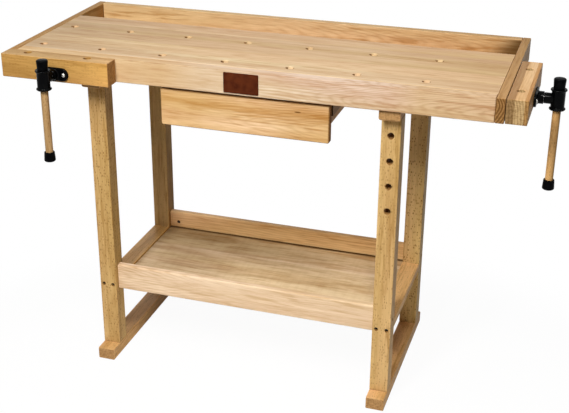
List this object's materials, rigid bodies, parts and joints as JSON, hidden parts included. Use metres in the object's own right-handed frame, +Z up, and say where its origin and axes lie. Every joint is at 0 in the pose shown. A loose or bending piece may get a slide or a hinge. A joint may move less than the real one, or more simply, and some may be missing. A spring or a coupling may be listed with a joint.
{
  "type": "woodworking bench with vises",
  "caption": "Beech woodworking bench with a laminated top with dog holes, a rear tool well, a front vise, an end vise, a hanging drawer and a low shelf between trestle legs.",
  "frame": {"origin": "on the floor under the middle of the bounding box", "axes": "+X along the bench towards the end vise, -Y towards the user at the front apron, +Z up"},
  "size_m": [1.34, 0.6176, 0.8721],
  "materials": {
    "pale_beech": "sanded and oiled, light laminated staves",
    "honey_beech": "sanded and oiled",
    "golden_beech": "lacquered, golden",
    "laminated_beech": "laminated boards, end grain showing",
    "brown_plate": "dark reddish brown, blank",
    "black_plastic": "satin black",
    "black_enamel": "gloss black enamel",
    "dark_steel": "dark plated",
    "zinc_steel": "bright zinc"
  },
  "bodies": {
    "bench_frame": {"top_slab": "pale_beech", "front_apron": "pale_beech", "left_end_board": "honey_beech", "right_end_board": "honey_beech", "back_board": "honey_beech", "well_rail": "honey_beech", "tool_well_bottom": "honey_beech", "name_plate": "brown_plate", "left_foot": "honey_beech", "left_bearer": "honey_beech", "front_left_leg": "honey_beech", "rear_left_leg": "honey_beech", "left_end_rail": "honey_beech", "left_rail_screw_left": "dark_steel", "left_rail_screw_right": "dark_steel", "left_shelf_bolt_front": "dark_steel", "left_shelf_bolt_rear": "dark_steel", "right_foot": "honey_beech", "right_bearer": "honey_beech", "front_right_leg": "honey_beech", "rear_right_leg": "honey_beech", "right_end_rail": "honey_beech", "right_rail_screw_left": "dark_steel", "right_rail_screw_right": "dark_steel", "right_shelf_bolt_front": "dark_steel", "right_shelf_bolt_rear": "dark_steel", "shelf_front_board": "honey_beech", "shelf_back_board": "honey_beech", "shelf_panel": "pale_beech", "left_drawer_runner": "honey_beech", "right_drawer_runner": "honey_beech", "front_nut_plate": "black_enamel", "end_nut_plate": "black_enamel"},
    "front_vise_jaw": {"front_jaw": "golden_beech", "front_guide_rod_left": "zinc_steel", "front_guide_rod_right": "zinc_steel", "front_flange": "black_enamel", "front_flange_screw_left": "zinc_steel", "front_flange_screw_right": "zinc_steel"},
    "front_vise_screw": {"front_lead_screw": "zinc_steel", "front_hub": "black_enamel"},
    "front_vise_handle": {"front_handle_bar": "pale_beech", "front_handle_top_cap": "black_plastic", "front_handle_bottom_cap": "black_plastic"},
    "end_vise_jaw": {"end_jaw": "laminated_beech", "end_guide_rod_left": "zinc_steel", "end_guide_rod_right": "zinc_steel", "end_flange": "black_enamel", "end_flange_screw_left": "zinc_steel", "end_flange_screw_right": "zinc_steel"},
    "end_vise_screw": {"end_lead_screw": "zinc_steel", "end_hub": "black_enamel"},
    "end_vise_handle": {"end_handle_bar": "pale_beech", "end_handle_top_cap": "black_plastic", "end_handle_bottom_cap": "black_plastic"},
    "drawer": {"drawer_front": "golden_beech", "drawer_left_side": "honey_beech", "drawer_right_side": "honey_beech", "drawer_back": "honey_beech", "drawer_bottom": "pale_beech"}
  },
  "joints": [
    {"name": "front_jaw_slide", "type": "slide", "parent": "bench_frame", "child": "front_vise_jaw", "axis": [0, -1, 0], "range_m": [0, 0.12001]},
    {"name": "front_screw_turn", "type": "hinge", "parent": "front_vise_jaw", "child": "front_vise_screw", "pos_m": [-0.527, -0.23875, 0.822], "axis": [0, -1, 0], "range_deg": [0, 7200]},
    {"name": "front_handle_slide", "type": "slide", "parent": "front_vise_screw", "child": "front_vise_handle", "axis": [0, 0, 1], "range_m": [0, 0.159]},
    {"name": "end_jaw_slide", "type": "slide", "parent": "bench_frame", "child": "end_vise_jaw", "axis": [1, 0, 0], "range_m": [0, 0.12001]},
    {"name": "end_screw_turn", "type": "hinge", "parent": "end_vise_jaw", "child": "end_vise_screw", "pos_m": [0.6, -0.04475, 0.822], "axis": [1, 0, 0], "range_deg": [0, 7200]},
    {"name": "end_handle_slide", "type": "slide", "parent": "end_vise_screw", "child": "end_vise_handle", "axis": [0, 0, 1], "range_m": [0, 0.172]},
    {"name": "drawer_slide", "type": "slide", "parent": "bench_frame", "child": "drawer", "axis": [0, -1, 0], "range_m": [0, 0.24]}
  ],
  "couplings": [
    {"joint": "front_jaw_slide", "follows": "front_screw_turn", "m_per_rad": 0.00095493},
    {"joint": "end_jaw_slide", "follows": "end_screw_turn", "m_per_rad": 0.00095493}
  ]
}
